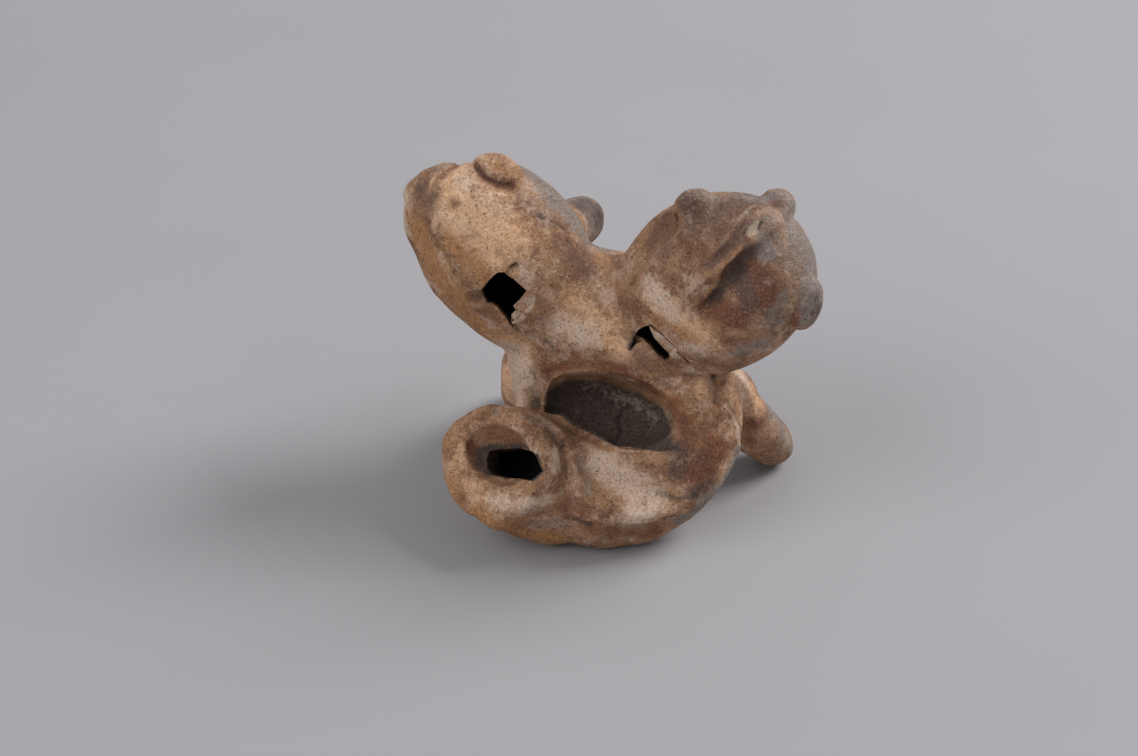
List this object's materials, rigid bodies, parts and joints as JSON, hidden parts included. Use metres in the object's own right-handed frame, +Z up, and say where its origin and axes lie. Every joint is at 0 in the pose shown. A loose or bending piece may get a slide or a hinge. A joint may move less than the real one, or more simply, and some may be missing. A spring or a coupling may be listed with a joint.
{
  "type": "double pottery whistle",
  "caption": "Small fired-clay double whistle: two hollow animal heads in a V on one body, blown through its curled tail.",
  "frame": {"origin": "on the ground, under the middle of the whistle", "axes": "+X to the player's right across both heads, +Y away from the mouthpiece, +Z up"},
  "size_m": [0.0668, 0.054, 0.0557],
  "materials": {
    "buff_clay": "matte, unglazed, worn",
    "burnished_clay": "lightly burnished, unglazed",
    "pale_clay": "matte, unglazed, pitted",
    "grey_clay": "matte, unglazed, smoke-clouded"
  },
  "bodies": {
    "root": {"left_chamber": "buff_clay", "right_chamber": "burnished_clay", "body": "pale_clay", "tail": "pale_clay", "mouth_collar": "buff_clay", "left_inner_ear": "buff_clay", "left_outer_ear": "buff_clay", "left_crest": "buff_clay", "left_crest_knob": "buff_clay", "right_inner_ear": "burnished_clay", "right_outer_ear": "burnished_clay", "right_crest": "burnished_clay", "right_crest_knob": "burnished_clay", "hind_left_foot": "grey_clay", "hind_right_foot": "grey_clay", "front_left_foot": "grey_clay", "front_right_foot": "grey_clay"}
  },
  "joints": []
}
